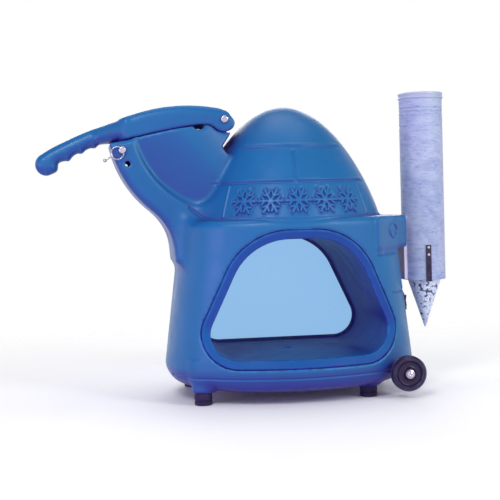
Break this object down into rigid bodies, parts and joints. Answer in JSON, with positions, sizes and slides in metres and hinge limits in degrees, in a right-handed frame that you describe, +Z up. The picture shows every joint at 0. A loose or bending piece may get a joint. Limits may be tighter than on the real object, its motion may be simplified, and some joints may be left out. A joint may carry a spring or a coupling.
{
  "type": "shaved ice machine",
  "caption": "Igloo-shaped countertop shaved ice machine with a hand lever over a curved hopper, open serving bin and side cone cup dispenser.",
  "frame": {"origin": "on the resting surface, under the middle of the machine's bounding box", "axes": "+X towards the wheels and the cup dispenser, -Y towards the operator's serving opening, +Z up"},
  "size_m": [0.896, 0.4318, 0.6465],
  "materials": {
    "body_blue": "satin moulded polyethylene",
    "liner_blue": "glossy moulded polyethylene",
    "window_tint": "light blue translucent acrylic",
    "black_rubber": "matt",
    "gasket_blue": "matt",
    "cast_metal": "as cast",
    "sheet_metal": "brushed",
    "motor_paint": "painted",
    "steel": "brushed",
    "bright_metal": "polished",
    "black_plastic": "matt",
    "clear_plastic": "frosted clear",
    "grey_plastic": "matt",
    "lid_plastic": "translucent white",
    "cup_paper": "printed paper"
  },
  "bodies": {
    "cabinet": {"cabinet_shell": "body_blue", "cabinet_top": "body_blue", "dispenser_arm": "body_blue", "bin_floor": "liner_blue", "bin_left": "liner_blue", "bin_right": "liner_blue", "bin_roof": "liner_blue", "back_window": "window_tint", "window_gasket": "gasket_blue", "window_clips": "grey_plastic", "hopper_neck": "body_blue", "front_cheek": "body_blue", "back_cheek": "body_blue", "dome_cover": "body_blue", "dome_ring": "steel", "dome_screws": "steel", "deck_plate": "sheet_metal", "motor": "motor_paint", "motor_saddle": "cast_metal", "motor_bolts": "steel", "cutter_housing": "cast_metal", "shaft_bush": "steel", "ice_chute": "sheet_metal", "pivot_bolt": "bright_metal", "pivot_nut": "bright_metal", "rubber_feet": "black_rubber", "foot_screws": "steel", "wheel_axle": "steel", "axle_caps": "bright_metal", "drain_spout": "grey_plastic", "switch_bezel": "black_plastic", "power_inlet": "black_plastic", "inlet_screws": "steel", "tube_bracket": "grey_plastic", "bracket_screws": "steel", "cup_tube": "clear_plastic", "cup_retainer": "black_plastic", "retainer_screws": "steel", "cup_stack": "cup_paper"},
    "lever": {"lever_arm": "body_blue", "ice_pusher": "cast_metal", "pusher_screws": "steel"},
    "cutter": {"drive_shaft": "steel", "cutter_disc": "cast_metal", "shaving_blades": "steel", "blade_screws": "steel", "disc_nut": "steel"},
    "pin_body": {"lock_pin": "bright_metal"},
    "ring_body": {"pin_ring": "bright_metal", "pin_toggle": "steel"},
    "front_wheel_body": {"front_wheel": "black_plastic"},
    "back_wheel_body": {"back_wheel": "black_plastic"},
    "switch_body": {"rocker_switch": "black_plastic"},
    "lid_body": {"tube_lid": "lid_plastic"},
    "cup_body": {"bottom_cup": "cup_paper"}
  },
  "joints": [
    {"name": "lever_pivot", "type": "hinge", "parent": "cabinet", "child": "lever", "pos_m": [-0.0495, 0, 0.592], "axis": [0, 1, 0], "range_deg": [0, 100]},
    {"name": "cutter_spin", "type": "hinge", "parent": "cabinet", "child": "cutter", "pos_m": [0, 0, 0.466], "axis": [1, 0, 0], "continuous": true},
    {"name": "pin_pull", "type": "slide", "parent": "cabinet", "child": "pin_body", "axis": [0, -1, 0], "range_m": [0, 0.19]},
    {"name": "ring_swing", "type": "hinge", "parent": "pin_body", "child": "ring_body", "pos_m": [-0.26525, -0.0905, 0.53176], "axis": [-0.4983, 0, 0.867], "range_deg": [0, 95]},
    {"name": "front_wheel_spin", "type": "hinge", "parent": "cabinet", "child": "front_wheel_body", "pos_m": [0.305, -0.186, 0.053], "axis": [0, 1, 0], "continuous": true},
    {"name": "back_wheel_spin", "type": "hinge", "parent": "cabinet", "child": "back_wheel_body", "pos_m": [0.305, 0.186, 0.053], "axis": [0, 1, 0], "continuous": true},
    {"name": "switch_rock", "type": "hinge", "parent": "cabinet", "child": "switch_body", "pos_m": [0.3405, -0.038, 0.19049], "axis": [0, -1, 0], "range_deg": [0, 12]},
    {"name": "lid_lift", "type": "slide", "parent": "cabinet", "child": "lid_body", "axis": [0, 0, 1], "range_m": [0, 0.06]},
    {"name": "cup_pull", "type": "slide", "parent": "cabinet", "child": "cup_body", "axis": [0, 0, -1], "range_m": [0, 0.11]}
  ]
}
